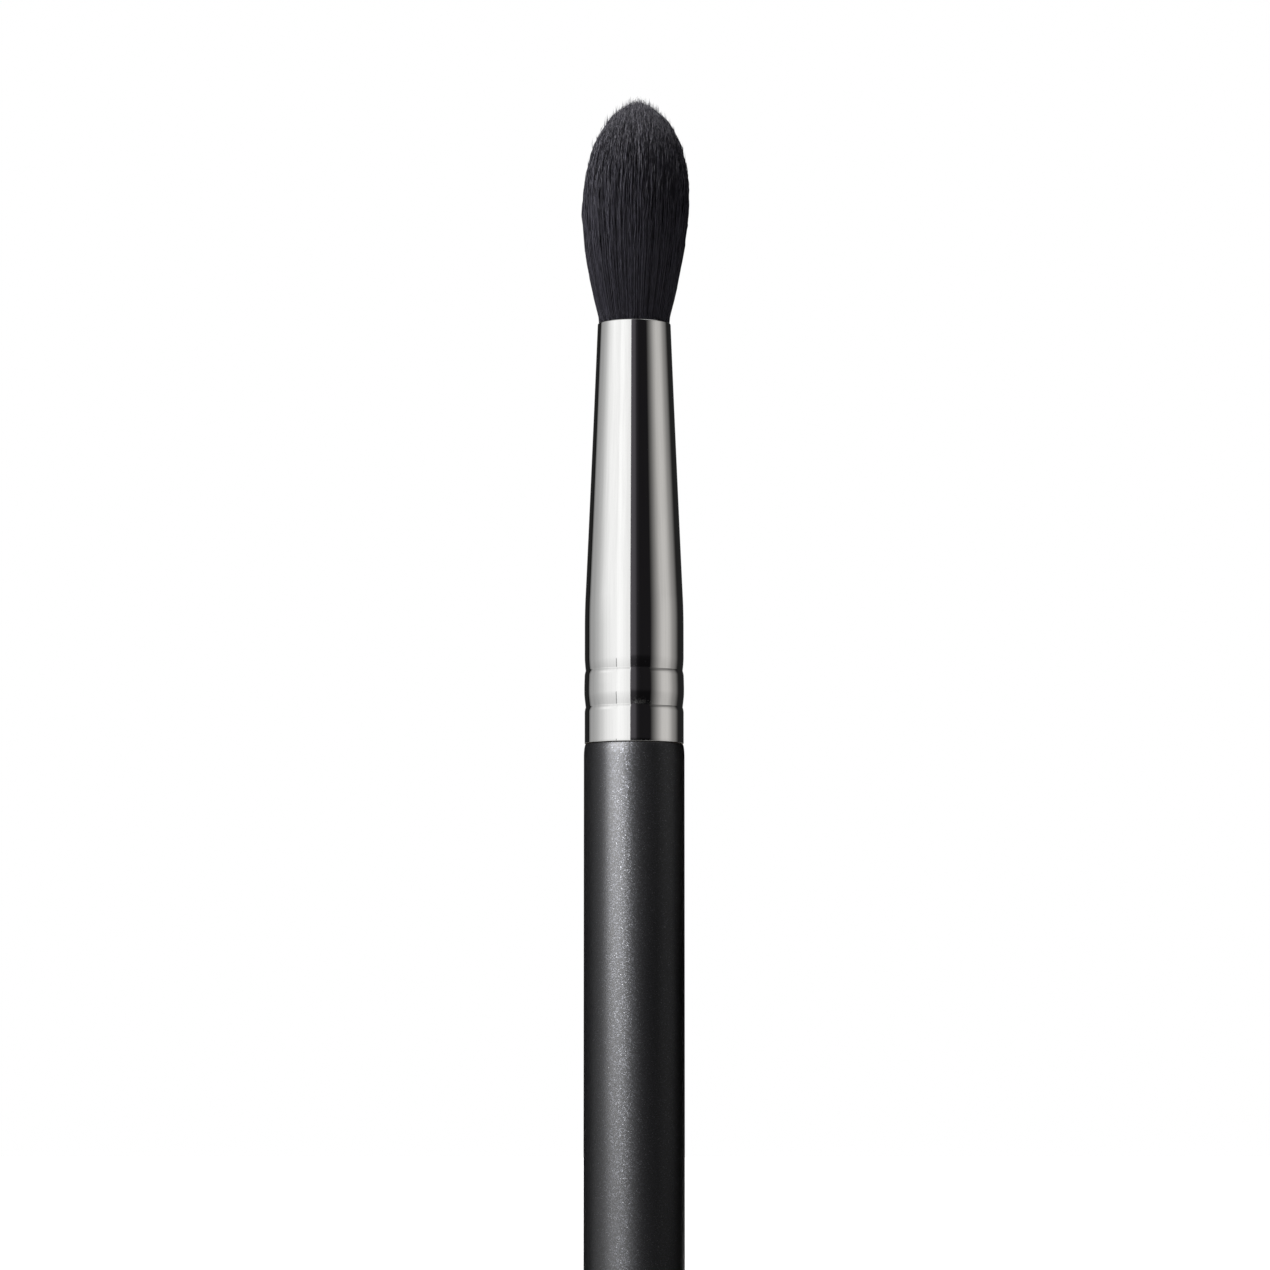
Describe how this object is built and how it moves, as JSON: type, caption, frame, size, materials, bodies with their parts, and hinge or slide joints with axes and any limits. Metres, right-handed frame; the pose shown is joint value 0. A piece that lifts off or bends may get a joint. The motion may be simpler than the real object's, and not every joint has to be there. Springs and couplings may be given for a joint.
{
  "type": "eye makeup brush",
  "caption": "Round tapered eye blending brush: dense dark fibre tuft in a crimped conical metal ferrule on a slim round lacquered handle.",
  "frame": {"origin": "centre of the small flat on the handle's butt end", "axes": "+Z along the brush's axis, from the butt end to the tip of the fibres; X and Y are across it, and any turn about Z is alike"},
  "size_m": [0.0102, 0.0102, 0.186],
  "materials": {
    "lacquered_wood": "satin black lacquer with fine metal flake over turned wood",
    "bright_plate": "bright polished nickel plate over drawn brass tube",
    "fibre": "fine black synthetic fibre with soft sheen",
    "thread": "waxed cotton thread",
    "resin": "clear amber epoxy",
    "glue": "dried wood glue"
  },
  "bodies": {
    "root": {"handle": "lacquered_wood", "ferrule": "bright_plate", "bristle_tuft": "fibre", "binding_thread": "thread", "resin_plug": "resin", "glue_ring": "glue"}
  },
  "joints": []
}
